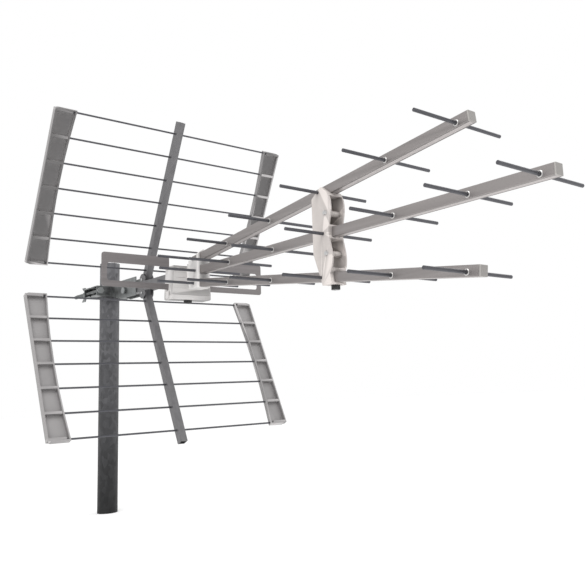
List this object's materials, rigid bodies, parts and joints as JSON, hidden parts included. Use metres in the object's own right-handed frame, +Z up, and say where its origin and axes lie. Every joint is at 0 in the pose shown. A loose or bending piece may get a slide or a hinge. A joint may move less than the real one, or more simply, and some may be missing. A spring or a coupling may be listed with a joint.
{
  "type": "yagi antenna",
  "caption": "Triple-boom UHF yagi antenna with a folding corner reflector, folded dipole arms and junction box, clamped to a round mast stub.",
  "frame": {"origin": "on the mast's axis at the mast's foot", "axes": "+Z up along the mast, the antenna looks along -Y, its elements lie along X"},
  "size_m": [0.496, 1.276, 0.789],
  "materials": {
    "galvanised": "mottled hot-dip zinc",
    "zinc_plate": "dark zinc plate",
    "boom_aluminium": "mill finish, fine lines along the tube",
    "spine_aluminium": "mill finish, a little duller",
    "rod_grey": "dark grey drawn rod",
    "dipole_sheet": "dull pressed sheet",
    "profile_plastic": "light grey moulding",
    "box_plastic": "light grey moulding",
    "spacer_plastic": "warm light grey moulding",
    "holder_plastic": "white moulding",
    "cap_plastic": "grey moulding",
    "black_plastic": "black moulding",
    "gland_rubber": "black rubber",
    "circuit_board": "green solder mask",
    "plated_brass": "bright plated",
    "screw_steel": "bright zinc"
  },
  "bodies": {
    "mast": {"mast_tube": "galvanised"},
    "clamp": {"clamp_channel": "zinc_plate", "clamp_jaw": "zinc_plate", "clamp_rods": "zinc_plate", "tilt_bolt": "zinc_plate", "tilt_nut": "zinc_plate"},
    "left_wing_nut": {"left_wing_nut": "zinc_plate"},
    "right_wing_nut": {"right_wing_nut": "zinc_plate"},
    "upper_panel": {"upper_spine": "spine_aluminium", "upper_reflector_rods": "rod_grey", "upper_left_profile": "profile_plastic", "upper_right_profile": "profile_plastic"},
    "lower_panel": {"lower_spine": "spine_aluminium", "lower_reflector_rods": "rod_grey", "lower_left_profile": "profile_plastic", "lower_right_profile": "profile_plastic"},
    "lid": {"box_lid": "box_plastic", "left_latch": "box_plastic", "right_latch": "box_plastic", "cable_gland": "gland_rubber"},
    "knob": {"spacer_knob": "black_plastic"},
    "antenna": {"boom_bracket": "spine_aluminium", "upper_hinge_pin": "screw_steel", "lower_hinge_pin": "screw_steel", "left_dipole_arm": "dipole_sheet", "right_dipole_arm": "dipole_sheet", "dipole_box": "box_plastic", "lid_pin": "screw_steel", "balun_board": "circuit_board", "f_connector": "plated_brass", "feed_holder": "holder_plastic", "feed_directors": "rod_grey", "spacer_left": "spacer_plastic", "spacer_right": "spacer_plastic", "spacer_screws": "screw_steel", "spacer_bolt": "zinc_plate", "middle_boom": "boom_aluminium", "middle_boom_cap": "cap_plastic", "middle_directors": "rod_grey", "upper_boom": "boom_aluminium", "upper_boom_cap": "cap_plastic", "upper_directors": "rod_grey", "lower_boom": "boom_aluminium", "lower_boom_cap": "cap_plastic", "lower_directors": "rod_grey"}
  },
  "joints": [
    {"name": "azimuth", "type": "hinge", "parent": "mast", "child": "clamp", "pos_m": [0, 0, 0.47], "axis": [0, 0, 1], "continuous": true},
    {"name": "tilt", "type": "hinge", "parent": "clamp", "child": "antenna", "pos_m": [0, -0.105, 0.47], "axis": [1, 0, 0], "range_deg": [-15, 15]},
    {"name": "upper_fold", "type": "hinge", "parent": "antenna", "child": "upper_panel", "pos_m": [0, -0.18, 0.484], "axis": [1, 0, 0], "range_deg": [0, 35]},
    {"name": "lower_fold", "type": "hinge", "parent": "antenna", "child": "lower_panel", "pos_m": [0, -0.18, 0.456], "axis": [-1, 0, 0], "range_deg": [0, 35]},
    {"name": "lid_hinge", "type": "hinge", "parent": "antenna", "child": "lid", "pos_m": [0, -0.3319, 0.429], "axis": [1, 0, 0], "range_deg": [0, 90]},
    {"name": "left_wing_spin", "type": "hinge", "parent": "clamp", "child": "left_wing_nut", "pos_m": [-0.038, 0.04, 0.478], "axis": [0, 1, 0], "continuous": true},
    {"name": "right_wing_spin", "type": "hinge", "parent": "clamp", "child": "right_wing_nut", "pos_m": [0.038, 0.04, 0.478], "axis": [0, 1, 0], "continuous": true},
    {"name": "knob_spin", "type": "hinge", "parent": "antenna", "child": "knob", "pos_m": [0, -0.785, 0.388], "axis": [0, 0, 1], "continuous": true}
  ]
}
